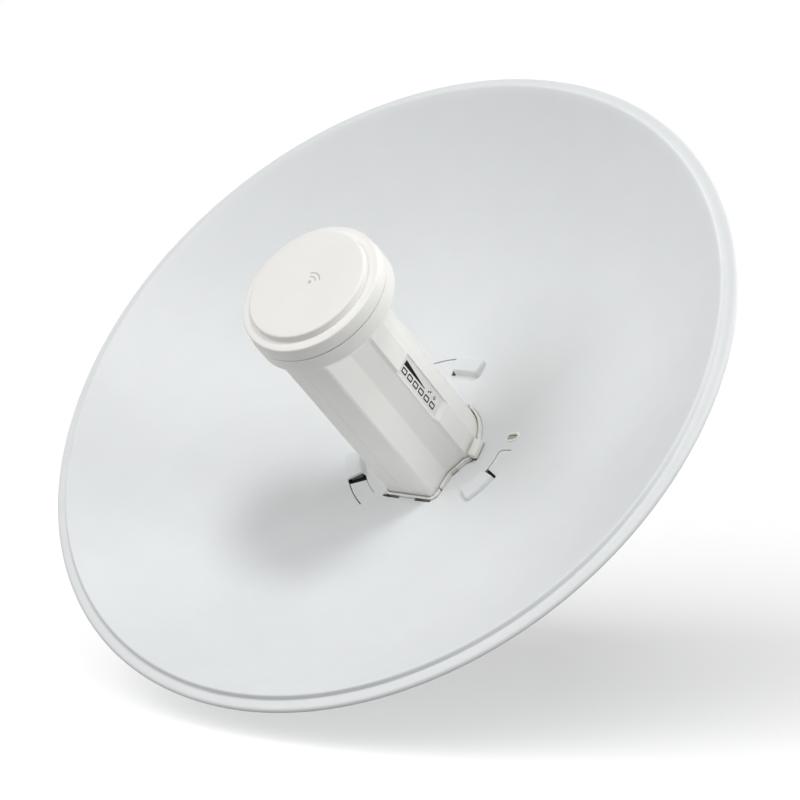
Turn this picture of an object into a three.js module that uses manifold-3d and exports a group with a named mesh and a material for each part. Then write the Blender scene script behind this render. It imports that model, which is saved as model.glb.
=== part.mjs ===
// Point-to-point wireless dish: a parabolic reflector with a snap-in radio feed, on a
// tilting mount that clamps to a mast. Millimetres, +Z up, boresight towards -Y and raised.
// The origin is on the mast's axis, level with the elevation hinge.
import * as THREE from "three";
import { mergeVertices } from "three/addons/utils/BufferGeometryUtils.js";
import Module from "manifold-3d";

const wasm = await Module();
wasm.setup();

// ---------------------------------------------------------------- driving dimensions
const GAP = 0.3; // between pieces that touch
const REST_ELEVATION = 40; // degrees of the boresight above the horizon

const RIM_RADIUS = 210;
const FOCAL_LENGTH = 140;
const SHEET = 1.5;
const RIM_Z = 68; // the rim's widest circle, in front of the vertex

const FEED_FRONT = 155.5; // cap face, in front of the vertex
const FEED_TAIL = -29;
const CAP_RADIUS = 41;
const RING_RADIUS = 42;
const RING_BACK = 134;
const FLARE_BACK = 120; // where the body starts to widen into the ring
const CAP_SEAM = 143.5;
const SHELL_WALL = 2;
const SHELL_SPLIT = -10.3; // x of the seam between the two feed shells

const HUB_INNER = 46;
const HUB_OUTER = 64;
const HUB_BACK = -30;
const PLATE = 2.5; // steel bracket thickness
const HINGE_BACK = 64; // vertex to hinge axis, along the boresight
const HINGE_FORWARD = 46; // hinge axis to mast axis
const LOCK_RADIUS = 22.5; // hinge axis to the bolts that lock the elevation
const LOCK_ANGLE = 45; // of those bolts, above the horizontal line through the hinge
const ELEVATION_RANGE = [0, 50];
const HINGE_BOLT = { radius: 4, hole: 4.3, flats: 13 }; // M8, as are the clamp bolts
const LOCK_BOLT = { radius: 3, hole: 3.3, flats: 10 }; // M6

const MAST_RADIUS = 24;
const SEAT_HALF_ANGLE = 60; // half the V of the mast seats
const CLAMP_BOLT_X = 38;
const INNER_EAR = 24; // inner face of the mast bracket's ears
const OUTER_EAR = 27; // inner face of the tilt bracket's ears

// ---------------------------------------------------------------- solids
const degrees = THREE.MathUtils.degToRad;

function toSolid(geometry) {
  const bare = geometry.clone();
  bare.deleteAttribute("normal");
  bare.deleteAttribute("uv");
  const merged = mergeVertices(bare, 1e-4);
  const index = merged.index.array;
  const triangles = [];
  for (let i = 0; i < index.length; i += 3) {
    const [a, b, c] = index.slice(i, i + 3);
    if (a !== b && b !== c && c !== a) triangles.push(a, b, c);
  }
  const build = (order) =>
    new wasm.Manifold(
      new wasm.Mesh({
        numProp: 3,
        vertProperties: new Float32Array(merged.attributes.position.array),
        triVerts: new Uint32Array(order),
      }),
    );
  const made = build(triangles);
  return made.volume() < 0 ? build(triangles.reverse()) : made;
}

function fromSolid(solid) {
  const mesh = solid.getMesh();
  const geometry = new THREE.BufferGeometry();
  geometry.setAttribute("position", new THREE.BufferAttribute(mesh.vertProperties, 3));
  geometry.setIndex(new THREE.BufferAttribute(mesh.triVerts, 1));
  return geometry;
}

const join = (...pieces) => fromSolid(pieces.map(toSolid).reduce((a, b) => a.add(b)));
const cut = (base, ...tools) =>
  fromSolid(tools.map(toSolid).reduce((a, b) => a.subtract(b), toSolid(base)));
const overlap = (a, b) => fromSolid(toSolid(a).intersect(toSolid(b)));
const mirrored = (geometry) => fromSolid(toSolid(geometry.clone().scale(-1, 1, 1)));

function box(x0, x1, y0, y1, z0, z1) {
  const made = new THREE.BoxGeometry(x1 - x0, y1 - y0, z1 - z0);
  return made.translate((x0 + x1) / 2, (y0 + y1) / 2, (z0 + z1) / 2);
}

function rod(radius, z0, z1, sides = 16) {
  const made = new THREE.CylinderGeometry(radius, radius, z1 - z0, sides);
  return made.rotateX(Math.PI / 2).translate(0, 0, (z0 + z1) / 2);
}

function prism(outline, z0, z1) {
  const shape = new THREE.Shape(outline.map(([x, y]) => new THREE.Vector2(x, y)));
  const made = new THREE.ExtrudeGeometry(shape, { depth: z1 - z0, bevelEnabled: false });
  return made.translate(0, 0, z0);
}

// A profile of [radius, height] points turned round Z.
function turned(profile, sides) {
  const closed = [...profile, profile[0]].map(([r, z]) => new THREE.Vector2(r, z));
  return new THREE.LatheGeometry(closed, sides).rotateX(Math.PI / 2);
}

// A plate whose outline is given as [y, z], between two x.
function sidePlate(outline, x0, x1) {
  const made = prism(outline, x0, x1);
  const swap = new THREE.Matrix4().set(0, 0, 1, 0, 1, 0, 0, 0, 0, 1, 0, 0, 0, 0, 0, 1);
  return made.applyMatrix4(swap);
}

const alongX = (geometry) => geometry.rotateY(Math.PI / 2);
const alongY = (geometry) => geometry.rotateX(-Math.PI / 2);

function arc(x, y, radius, from, to, steps) {
  const points = [];
  for (let i = 0; i <= steps; i += 1) {
    const a = degrees(from + ((to - from) * i) / steps);
    points.push([x + radius * Math.cos(a), y + radius * Math.sin(a)]);
  }
  return points;
}

// A wedge of the ring between two radii and two angles.
function sector(r0, r1, from, to, z0, z1) {
  const steps = Math.max(3, Math.ceil((to - from) / 4));
  return prism(
    [...arc(0, 0, r1, from, to, steps), ...arc(0, 0, r0, to, from, steps)],
    z0,
    z1,
  );
}

// Every edge of an anticlockwise outline moved outwards by the same distance.
function grown(outline, distance) {
  const count = outline.length;
  const normal = (i) => {
    const [x0, y0] = outline[i % count];
    const [x1, y1] = outline[(i + 1) % count];
    const length = Math.hypot(x1 - x0, y1 - y0);
    return [(y1 - y0) / length, (x0 - x1) / length];
  };
  return outline.map(([x, y], i) => {
    const [ax, ay] = normal(i + count - 1);
    const [bx, by] = normal(i);
    const reach = distance / (1 + ax * bx + ay * by);
    return [x + reach * (ax + bx), y + reach * (ay + by)];
  });
}

// The convex outline round a set of points.
function hull(points) {
  const sorted = [...points].sort((a, b) => a[0] - b[0] || a[1] - b[1]);
  const turn = (o, a, b) => (a[0] - o[0]) * (b[1] - o[1]) - (a[1] - o[1]) * (b[0] - o[0]);
  const half = (list) => {
    const kept = [];
    for (const p of list) {
      while (kept.length > 1 && turn(kept.at(-2), kept.at(-1), p) <= 1e-6) kept.pop();
      kept.push(p);
    }
    return kept.slice(0, -1);
  };
  return [...half(sorted), ...half(sorted.reverse())];
}

// ---------------------------------------------------------------- finishes and groups
const finish = (color, roughness, metalness = 0) =>
  new THREE.MeshStandardMaterial({ color, roughness, metalness, flatShading: true });

const powderCoat = finish(0xdde0e2, 0.55);
const whitePlastic = finish(0xeeeeea, 0.5);
const greyPlastic = finish(0xc9cac6, 0.6);
const clearWindow = finish(0xf4f4f0, 0.25);
const steel = finish(0xb4b8ba, 0.4, 0.9);
const aluminium = finish(0xc8cacc, 0.35, 0.9);
const blackRubber = finish(0x1d1d1f, 0.8);
const boardGreen = finish(0x1f5c3a, 0.5);

const part = new THREE.Group();
const boresight = new THREE.Group(); // its +Z is the boresight, +Y up the dish, origin at the vertex
const rise = degrees(REST_ELEVATION);
boresight.rotation.x = Math.PI / 2 - rise;
boresight.position.set(
  0,
  -HINGE_FORWARD - HINGE_BACK * Math.cos(rise),
  HINGE_BACK * Math.sin(rise),
);
part.add(boresight);

function add(group, name, geometry, material) {
  geometry.computeVertexNormals();
  const mesh = new THREE.Mesh(geometry, material);
  mesh.name = name;
  group.add(mesh);
}

// ---------------------------------------------------------------- feed section
// The feed's section: a flat keel below, a waist, a raised side panel and a round back.
const KEEL_Y = -35.6;
const PANEL_X = 27.6;
const PANEL_Y = [-8.4, 4];
const BACK_RADIUS = 26.5;

function feedSection(distance = 0) {
  const right = [
    [14.5, KEEL_Y],
    [16.2, KEEL_Y + 1.4],
    [18.9, -19.5],
    [25.6, -9.6],
    [PANEL_X, PANEL_Y[0]],
    [PANEL_X, PANEL_Y[1]],
    ...arc(0, 0, BACK_RADIUS, 20, 80, 5),
  ];
  const left = right.map(([x, y]) => [-x, y]).reverse();
  return grown([...right, ...left], distance);
}

// ---------------------------------------------------------------- reflector
const dishFront = (r) => (r * r) / (4 * FOCAL_LENGTH);
const DISH_SIDES = 60;
const BAYONETS = [90, 210, 330]; // middle of each raised pocket
const POCKET = { inner: 45, outer: 55.5, from: -11, to: 10, height: 4.2, wall: 1.3 };
const WINDOW_TO = 13.5;
const SLIT_TO = 29;
const SLIT_WIDTH = 1;
const LOCK_HOLE = { radius: 51.2, angle: 8.8, length: 7, width: 3 };
const LATCH = { x: 28.6, depth: 5.2, y: [-8, 3] };

function sheetProfile() {
  const front = [];
  const back = [];
  const steps = 7;
  for (let i = 0; i <= steps; i += 1) {
    const r = 12 + ((200.5 - 12) * i) / steps;
    const slope = Math.atan(r / (2 * FOCAL_LENGTH));
    front.push([r, dishFront(r)]);
    back.push([r + SHEET * Math.sin(slope) * 0.4, dishFront(r) - SHEET]);
  }
  const crest = [
    [201.8, 72.3],
    [202.8, 71.9],
    [203.7, 69.6],
  ];
  const hem = [
    [207.8, 69.5],
    [209.4, 69],
    [RIM_RADIUS, RIM_Z - 0.2],
    [209.5, 66.6],
    [208, 66.1],
    [206.9, 68],
    [203, 68],
  ];
  return [...front, ...crest, ...hem, ...back.reverse()];
}

// A band of sheet parallel to the dish's front, used for the pockets and their hollows.
function band(r0, r1, below, above) {
  return turned(
    [
      [r0, dishFront(r0) + below],
      [r1, dishFront(r1) + below],
      [r1, dishFront(r1) + above],
      [r0, dishFront(r0) + above],
    ],
    72,
  );
}

function pocketShell(middle) {
  const { inner, outer, from, to, height } = POCKET;
  return overlap(
    band(inner, outer, -SHEET / 2, height),
    sector(30, 70, middle + from, middle + to, -5, 20),
  );
}

function pocketHollow(middle) {
  const { inner, outer, from, height, wall } = POCKET;
  return overlap(
    band(inner + wall, outer - wall, -4, height - wall),
    sector(30, 70, middle + from + 1.6, middle + WINDOW_TO, -5, 20),
  );
}

// The slit beside a pocket. The third one runs on its inner side and turns out past the lock hole.
function pocketSlits(middle, index) {
  const { inner, outer } = POCKET;
  const end = middle + SLIT_TO;
  if (index < 2) return [sector(outer - SLIT_WIDTH, outer, middle + 10, end, -4, 12)];
  const turnOut = box(inner + 0.5, outer - 1.5, 0, SLIT_WIDTH, -4, 12);
  return [
    sector(inner, inner + SLIT_WIDTH, middle + 10, end + 1.2, -4, 12),
    turnOut.rotateZ(degrees(end)),
  ];
}

function lockHole(margin) {
  const half = LOCK_HOLE.length / 2 - LOCK_HOLE.width / 2;
  const end = LOCK_HOLE.width / 2 + margin;
  const outline = hull([
    ...arc(LOCK_HOLE.radius - half, 0, end, 90, 270, 6),
    ...arc(LOCK_HOLE.radius + half, 0, end, -90, 90, 6),
  ]);
  return prism(outline, -6, 7.2).rotateZ(degrees(LOCK_HOLE.angle));
}

function reflector() {
  const raised = join(
    turned(sheetProfile(), DISH_SIDES),
    ...BAYONETS.map(pocketShell),
    overlap(lockHole(1.4), band(40, 62, -0.8, 1)),
  );
  const latchSlot = box(20, 34.4, LATCH.y[0] - 0.5, LATCH.y[1] + 0.5, -5, 12);
  return cut(
    raised,
    ...BAYONETS.map(pocketHollow),
    ...BAYONETS.flatMap(pocketSlits),
    lockHole(0),
    prism(feedSection(2.8), -5, 12),
    latchSlot,
  );
}

// ---------------------------------------------------------------- collar and its latch
const COLLAR_TOP = 4;
const COLLAR_BOTTOM = -7;

function feedCollar() {
  const sleeve = prism(feedSection(2.4), COLLAR_BOTTOM, COLLAR_TOP);
  const flange = overlap(
    prism(feedSection(7.5), -8, 2),
    turned(
      [
        [2, COLLAR_BOTTOM],
        [46, COLLAR_BOTTOM],
        [45.5, dishFront(45) - SHEET - GAP - 0.5],
        [2, -SHEET - GAP - 0.5],
      ],
      60,
    ),
  );
  const latchRoom = box(20, 40, LATCH.y[0] - GAP, LATCH.y[1] + GAP, COLLAR_BOTTOM - 1, 12);
  return cut(join(sleeve, flange), prism(feedSection(0.5), -20, 20), latchRoom);
}

function collarLatch() {
  const { x, depth, y } = LATCH;
  const block = box(x, x + depth, y[0], y[1], 3, 9);
  const stem = box(x, x + 2.2, y[0], y[1], -8, 3.5);
  const tooth = box(x - 2, x + 0.5, y[0] + 2, y[1] - 2, 5, 7);
  const ramp = box(0, 6, y[0] - 1, y[1] + 1, 0, 6).rotateY(degrees(40));
  return cut(join(block, stem, tooth), ramp.translate(x + 2.2, 0, 9.8));
}

// ---------------------------------------------------------------- feed shells
const LED_PANEL = { z: [44, 88], y: [-7.6, 3.8], floor: 25.9 };
const JACK = { x: [-7.6, 6.4], y: [-33.3, -12.3], z: [-26.6, -12] };
const RESET = { x: 0, z: -9.2, radius: 1.2 };

function feedShell() {
  const outer = join(
    prism(feedSection(), FEED_TAIL, RING_BACK + 1),
    turned(
      [
        [0, FLARE_BACK],
        [BACK_RADIUS, FLARE_BACK],
        [RING_RADIUS, RING_BACK],
        [RING_RADIUS, CAP_SEAM - GAP],
        [0, CAP_SEAM - GAP],
      ],
      48,
    ),
  );
  const inner = join(
    prism(feedSection(-SHELL_WALL), FEED_TAIL + SHELL_WALL, CAP_SEAM + 5),
    turned(
      [
        [0, FLARE_BACK + 3],
        [BACK_RADIUS - 2, FLARE_BACK + 3],
        [RING_RADIUS - 3, RING_BACK + 2.4],
        [RING_RADIUS - 3, CAP_SEAM + 5],
        [0, CAP_SEAM + 5],
      ],
      48,
    ),
  );
  const panelBacking = box(22.5, 26.6, -9.2, 6.4, LED_PANEL.z[0] - 8, LED_PANEL.z[1] + 2);
  return join(cut(outer, inner), overlap(panelBacking, outer));
}

function bodyShell() {
  const [z0, z1] = LED_PANEL.z;
  const [y0, y1] = LED_PANEL.y;
  const panelWindow = prism(
    [
      [20, z0],
      [LED_PANEL.floor, z0],
      [PANEL_X + 1, z0 - 5.5],
      [PANEL_X + 4, z0 - 5.5],
      [PANEL_X + 4, z1],
      [20, z1],
    ],
    y0,
    y1,
  )
    .rotateX(Math.PI / 2)
    .translate(0, y0 + y1, 0);
  const [jx, jz] = [JACK.x, JACK.z];
  const jackOpening = box(jx[0] + 0.4, jx[1] - 0.4, -40, -30, jz[0] + 0.4, jz[1] - 0.4);
  const resetHole = rod(RESET.radius + GAP, 30, 40).rotateX(Math.PI / 2);
  resetHole.translate(RESET.x, 0, RESET.z);
  const latchNotch = box(LATCH.x - 2.6, 40, LATCH.y[0] + 1.5, LATCH.y[1] - 1.5, 4.5, 7.5);
  const keep = box(SHELL_SPLIT + GAP / 2, 60, -60, 60, -60, 200);
  return cut(overlap(feedShell(), keep), panelWindow, jackOpening, resetHole, latchNotch);
}

function coverShell() {
  return overlap(feedShell(), box(-60, SHELL_SPLIT - GAP / 2, -60, 60, -60, 200));
}

function ledWindow() {
  const [z0, z1] = LED_PANEL.z;
  const [y0, y1] = LED_PANEL.y;
  return box(22.6, LED_PANEL.floor, y0 + GAP, y1 - GAP, z0 + GAP, z1 - GAP);
}

// ---------------------------------------------------------------- cap and antenna parts
function cap() {
  const flangeFront = FEED_FRONT - 4.2;
  const outer = turned(
    [
      [0, CAP_SEAM],
      [RING_RADIUS, CAP_SEAM],
      [CAP_RADIUS + 0.2, flangeFront - 1],
      [CAP_RADIUS - 0.8, flangeFront],
      [35.05, flangeFront],
      [35.05, FEED_FRONT - 0.7],
      [34.3, FEED_FRONT],
      [0, FEED_FRONT],
    ],
    48,
  );
  const flangeHollow = rod(38.4, CAP_SEAM - 2, flangeFront - 2.2, 48);
  const faceHollow = rod(32.5, CAP_SEAM - 2, FEED_FRONT - 2, 48);
  return cut(outer, flangeHollow, faceHollow);
}

function capGasket() {
  return turned(
    [
      [36.4, CAP_SEAM - 1.6],
      [38, CAP_SEAM - 1.6],
      [38, CAP_SEAM + 1],
      [36.4, CAP_SEAM + 1],
    ],
    36,
  );
}

function subreflector() {
  return turned(
    [
      [0, FEED_FRONT - 5.5],
      [31, FEED_FRONT - 3.6],
      [31, FEED_FRONT - 2.4],
      [0, FEED_FRONT - 4.3],
    ],
    40,
  );
}

function radiatorStack() {
  const board = rod(26, RING_BACK + 3.2, RING_BACK + 4.8, 40);
  const spacer = rod(5, RING_BACK + 4.5, FEED_FRONT - 6, 16);
  const patch = rod(9, RING_BACK + 7.2, RING_BACK + 8, 24);
  return join(board, spacer, patch);
}

// ---------------------------------------------------------------- electronics
const BOARD = { x: [-9.4, -7.9], y: [-31, 21], z: [-26.6, 128] };

function mainBoard() {
  return box(...BOARD.x, ...BOARD.y, ...BOARD.z);
}

function shieldCan(z0, z1) {
  const x0 = BOARD.x[1] + GAP;
  const can = box(x0, x0 + 4, -18, 14, z0, z1);
  return cut(can, box(x0 - 1, x0 + 3.6, -17.6, 13.6, z0 + 0.4, z1 - 0.4));
}

function heatSpreader() {
  const x1 = BOARD.x[0] - GAP;
  const fins = [];
  for (let y = -20; y <= 10; y += 6) fins.push(box(x1 - 6, x1 - 1, y, y + 1.4, 10, 110));
  return join(box(x1 - 1.6, x1, -22, 14, 10, 110), ...fins);
}

function ledBoard() {
  return box(19.6, 20.8, -7, 3, LED_PANEL.z[0] - 2, LED_PANEL.z[1] + 1);
}

function networkJack() {
  const [x0, x1] = JACK.x;
  const [y0, y1] = JACK.y;
  const [z0, z1] = JACK.z;
  const socket = box(x0 + 2.4, x1 - 2.4, y0 - 1, y0 + 14, z0 + 2, z1 - 2);
  return cut(box(x0, x1, y0, y1, z0, z1), socket);
}

function resetButton() {
  const pin = rod(RESET.radius, 32, 35.4, 16);
  const head = rod(2, 31.4, 33, 16);
  return join(pin, head).rotateX(Math.PI / 2).translate(RESET.x, 0, RESET.z);
}

// A slide-off cover under the feed's tail, with a notch for the cable.
function portCover() {
  const tray = cut(
    box(-19.6, 19.6, KEEL_Y - 3, -30, FEED_TAIL - 2.4, -11.6),
    prism(feedSection(GAP), FEED_TAIL - GAP, 0),
  );
  const notch = rod(4, 34, 45, 20).rotateX(Math.PI / 2);
  const corner = (side) =>
    box(-4, 4, -4, 4, -50, 0).rotateZ(Math.PI / 4).translate(side * 21.4, KEEL_Y - 4.4, 0);
  return cut(tray, notch.translate(0, 0, -23), corner(1), corner(-1));
}

// ---------------------------------------------------------------- hub behind the dish
const HUB_SCREWS = [
  [46, 34],
  [-46, 34],
  [-46, -34],
  [46, -34],
];
const HUB_SCREW = { shank: 2.5, hole: 2.8, head: 4.6 };
const hubFront = (r) => dishFront(r) - SHEET - GAP - 0.2;

function bayonetLug(middle) {
  const r0 = POCKET.inner + POCKET.wall + 0.6;
  const r1 = POCKET.outer - POCKET.wall - 0.6;
  const top = POCKET.height - POCKET.wall - 0.5;
  return overlap(band(r0, r1, -14, top), sector(30, 70, middle - 7, middle + 7, -20, 20));
}

function mountHub() {
  const ring = turned(
    [
      [HUB_INNER, hubFront(HUB_INNER)],
      [55, hubFront(55)],
      [HUB_OUTER, hubFront(HUB_OUTER)],
      [HUB_OUTER, HUB_BACK + 4],
      [HUB_OUTER - 3, HUB_BACK],
      [HUB_INNER, HUB_BACK],
    ],
    48,
  );
  const pockets = [
    [48, 74],
    [106, 132],
    [152, 192],
    [234, 258],
    [282, 306],
  ].map(([from, to]) => sector(HUB_INNER + 3, HUB_OUTER - 3, from, to, HUB_BACK + 3, 12));
  const buttonRoom = sector(HUB_INNER + 1.4, HUB_OUTER - 3, -12, 28, HUB_BACK + 3, 12);
  const cableNotch = box(-7, 7, -70, -40, HUB_BACK - 1, -13);
  const screwHoles = HUB_SCREWS.map(([x, y]) =>
    rod(HUB_SCREW.hole, HUB_BACK - 1, -12, 12).translate(x, y, 0),
  );
  const blank = join(ring, ...BAYONETS.map(bayonetLug));
  return cut(blank, ...pockets, buttonRoom, cableNotch, ...screwHoles);
}

// Pushed back through its hole, it frees the dish to turn off the hub.
function lockButton() {
  const { radius, angle, length, width } = LOCK_HOLE;
  const slack = 0.5;
  const pin = box(
    radius - length / 2 + slack,
    radius + length / 2 - slack,
    -width / 2 + slack,
    width / 2 - slack,
    -10,
    dishFront(radius) - 0.3,
  );
  const foot = box(radius - 3.4, radius + 6.5, -5, 5, -12, -9.5);
  return join(pin, foot).rotateZ(degrees(angle));
}

function hubScrew([x, y]) {
  const headBack = HUB_BACK - PLATE - 2 * GAP;
  const head = rod(HUB_SCREW.head, headBack - 3, headBack);
  const shank = rod(HUB_SCREW.shank, headBack - 0.5, -14, 12);
  return join(head, shank).translate(x, y, 0);
}

// ---------------------------------------------------------------- tilt bracket
// Hinge coordinates: along the dish's up (Y) and along the boresight (Z), from the vertex.
const FEED_ROOM = 30;

// The curved slot, with round ends, that a lock bolt runs in as the elevation changes.
function lockSlot() {
  const start = LOCK_ANGLE - ELEVATION_RANGE[0];
  const end = LOCK_ANGLE + ELEVATION_RANGE[1];
  const half = LOCK_BOLT.radius + 0.5;
  const roundEnd = (angle, from) => {
    const y = LOCK_RADIUS * Math.cos(degrees(angle));
    const z = LOCK_RADIUS * Math.sin(degrees(angle));
    return arc(y, z, half, from + 30, from + 150, 4);
  };
  const outline = [
    ...arc(0, 0, LOCK_RADIUS + half, start, end, 8),
    ...roundEnd(end, end),
    ...arc(0, 0, LOCK_RADIUS - half, end, start, 8),
    ...roundEnd(start, start + 180),
  ];
  return sidePlate(
    outline.map(([y, z]) => [y, z - HINGE_BACK]),
    0,
    60,
  );
}

function tiltEar() {
  const plateZ = HUB_BACK - GAP - PLATE / 2;
  const outline = hull([
    ...arc(0, -HINGE_BACK, 11, 150, 390, 12),
    ...arc(LOCK_RADIUS * 0.72, LOCK_RADIUS * 0.62 - HINGE_BACK, 9, 0, 90, 4),
    [-15, plateZ],
    [27, plateZ],
  ]);
  const hingeHole = alongX(rod(HINGE_BOLT.hole, -1, 60)).translate(0, 0, -HINGE_BACK);
  return cut(sidePlate(outline, OUTER_EAR, OUTER_EAR + PLATE), hingeHole, lockSlot());
}

function tiltBracket() {
  const z1 = HUB_BACK - GAP;
  const z0 = z1 - PLATE;
  const plate = prism(
    hull([
      ...arc(46, 34, 9, 0, 90, 3),
      ...arc(-46, 34, 9, 90, 180, 3),
      ...arc(-46, -34, 9, 180, 270, 3),
      ...arc(46, -34, 9, 270, 360, 3),
    ]),
    z0,
    z1,
  );
  const feedOpening = box(-OUTER_EAR, OUTER_EAR, -50, FEED_ROOM, z0 - 1, z1 + 1);
  const screwHoles = HUB_SCREWS.map(([x, y]) =>
    rod(HUB_SCREW.hole, z0 - 1, z1 + 1, 12).translate(x, y, 0),
  );
  const ear = tiltEar();
  return join(cut(plate, feedOpening, ...screwHoles), ear, mirrored(ear));
}

// ---------------------------------------------------------------- mast bracket and clamp
const WEB_FRONT = -30;
const WEB_BACK = WEB_FRONT + PLATE;
const BRACKET_HALF = 47;
const BRACKET_TOP = 33;
const JAW_HALF = 45;
const JAW_TOP = 26;
const LOCK_Y = -HINGE_FORWARD - LOCK_RADIUS * Math.cos(degrees(LOCK_ANGLE));
const LOCK_Z = LOCK_RADIUS * Math.sin(degrees(LOCK_ANGLE));

// A flange with a toothed V that seats the mast; the V opens towards +Y.
function seatFlange(halfWidth, back, z0, z1) {
  const apex = MAST_RADIUS / Math.sin(degrees(SEAT_HALF_ANGLE));
  const slope = Math.tan(degrees(SEAT_HALF_ANGLE));
  const mouth = apex - back;
  const teeth = 9;
  const edge = [];
  for (let i = 0; i <= 2 * teeth; i += 1) {
    const along = (mouth * i) / (2 * teeth);
    const bite = i % 2 ? 1 : 0;
    edge.push([along * slope + bite * 0.5, -apex + along - bite * 0.9]);
  }
  const right = edge.filter(([, y]) => y > -apex + 0.4);
  const outline = [
    [halfWidth, WEB_FRONT + 1],
    [halfWidth, -back],
    ...right.reverse(),
    ...right.reverse().map(([x, y]) => [-x, y]),
    [-halfWidth, -back],
    [-halfWidth, WEB_FRONT + 1],
  ];
  return prism(outline, z0, z1);
}

function webWithSeats(halfWidth, top, back) {
  const web = box(-halfWidth, halfWidth, WEB_FRONT, WEB_BACK, -top, top);
  const boltHoles = [-1, 1].map((side) =>
    alongY(rod(HINGE_BOLT.hole, -5, 5)).translate(side * CLAMP_BOLT_X, WEB_BACK, 0),
  );
  const upper = seatFlange(halfWidth, back, top - PLATE, top);
  const lower = seatFlange(halfWidth, back, -top, PLATE - top);
  return cut(join(web, upper, lower), ...boltHoles);
}

function mastEar() {
  const outline = hull([
    ...arc(-HINGE_FORWARD, 0, 10.5, 180, 300, 8),
    ...arc(LOCK_Y, LOCK_Z, 7.2, 60, 220, 8),
    [WEB_FRONT + 1, -24],
    [WEB_FRONT + 1, 26],
  ]);
  const hingeHole = alongX(rod(HINGE_BOLT.hole, -1, 60)).translate(0, -HINGE_FORWARD, 0);
  const boltHole = alongX(rod(LOCK_BOLT.hole, -1, 60)).translate(0, LOCK_Y, LOCK_Z);
  return cut(sidePlate(outline, INNER_EAR, INNER_EAR + PLATE), hingeHole, boltHole);
}

function mastBracket() {
  const ear = mastEar();
  return join(webWithSeats(BRACKET_HALF, BRACKET_TOP, 6), ear, mirrored(ear));
}

function clampJaw() {
  return webWithSeats(JAW_HALF, JAW_TOP, 8).rotateZ(Math.PI);
}

// ---------------------------------------------------------------- fasteners
const WASHER = 1.6;
const hexagon = (acrossFlats, z0, z1) => rod(acrossFlats / Math.sqrt(3), z0, z1, 6);

function roundHead(radius, height) {
  return turned(
    [
      [0, 0],
      [radius, 0],
      [radius * 0.92, height * 0.5],
      [radius * 0.6, height * 0.87],
      [0, height],
    ],
    16,
  );
}

const CLAMP_BOLT_END = 64;

// Head at the web's front, thread running back through the jaw.
function clampBolt(side) {
  const head = roundHead(8.6, 4.4).rotateX(Math.PI / 2).translate(0, WEB_FRONT - GAP, 0);
  const shank = alongY(rod(HINGE_BOLT.radius, -CLAMP_BOLT_END, -WEB_FRONT + 1));
  return join(head, shank.scale(1, -1, 1)).translate(side * CLAMP_BOLT_X, 0, 0);
}

function flangeNut({ hole, flats }, height) {
  const flange = rod(flats * 0.68, 0, WASHER);
  return cut(join(flange, hexagon(flats, WASHER / 2, height)), rod(hole, -1, height + 1));
}

function clampWasher(side) {
  const ring = cut(rod(8.4, 0, WASHER), rod(HINGE_BOLT.hole, -1, 3));
  return ring.rotateX(-Math.PI / 2).translate(side * CLAMP_BOLT_X, -WEB_FRONT + GAP, 0);
}

function clampNut(side) {
  const nut = flangeNut(HINGE_BOLT, 8).rotateX(-Math.PI / 2);
  return nut.translate(side * CLAMP_BOLT_X, -WEB_FRONT + WASHER + 2 * GAP, 0);
}

const EAR_OUTSIDE = OUTER_EAR + PLATE + GAP;

function hingeBolt() {
  const shank = rod(HINGE_BOLT.radius, -EAR_OUTSIDE - 9, EAR_OUTSIDE + 1);
  const washer = rod(8, EAR_OUTSIDE, EAR_OUTSIDE + WASHER);
  const head = hexagon(HINGE_BOLT.flats, EAR_OUTSIDE + WASHER / 2, EAR_OUTSIDE + 6.6);
  return alongX(join(shank, washer, head)).translate(0, -HINGE_FORWARD, 0);
}

function hingeNut() {
  const nut = alongX(flangeNut(HINGE_BOLT, 7)).scale(-1, 1, 1);
  return fromSolid(toSolid(nut)).translate(-EAR_OUTSIDE, -HINGE_FORWARD, 0);
}

function lockBolt() {
  const head = roundHead(6.4, 3.2).rotateY(-Math.PI / 2).translate(INNER_EAR - GAP, 0, 0);
  const shank = alongX(rod(LOCK_BOLT.radius, INNER_EAR - 1, EAR_OUTSIDE + 9));
  return join(head, shank).translate(0, LOCK_Y, LOCK_Z);
}

function lockNut() {
  return alongX(flangeNut(LOCK_BOLT, 6)).translate(EAR_OUTSIDE, LOCK_Y, LOCK_Z);
}

// ---------------------------------------------------------------- assembly
add(boresight, "reflector", reflector(), powderCoat);
add(boresight, "feed_collar", feedCollar(), whitePlastic);
add(boresight, "collar_latch", collarLatch(), whitePlastic);
add(boresight, "feed_body_shell", bodyShell(), whitePlastic);
add(boresight, "feed_cover_shell", coverShell(), whitePlastic);
add(boresight, "led_window", ledWindow(), clearWindow);
add(boresight, "feed_cap", cap(), whitePlastic);
add(boresight, "cap_gasket", capGasket(), blackRubber);
add(boresight, "subreflector", subreflector(), aluminium);
add(boresight, "radiator_stack", radiatorStack(), boardGreen);
add(boresight, "main_board", mainBoard(), boardGreen);
add(boresight, "radio_shield", shieldCan(66, 118), steel);
add(boresight, "processor_shield", shieldCan(4, 52), steel);
add(boresight, "heat_spreader", heatSpreader(), aluminium);
add(boresight, "led_board", ledBoard(), boardGreen);
add(boresight, "network_jack", networkJack(), greyPlastic);
add(boresight, "reset_button", resetButton(), greyPlastic);
add(boresight, "port_cover", portCover(), whitePlastic);
add(boresight, "mount_hub", mountHub(), greyPlastic);
add(boresight, "lock_button", lockButton(), greyPlastic);
HUB_SCREWS.forEach((place, i) => add(boresight, `hub_screw_${i + 1}`, hubScrew(place), steel));
add(boresight, "tilt_bracket", tiltBracket(), steel);

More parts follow.
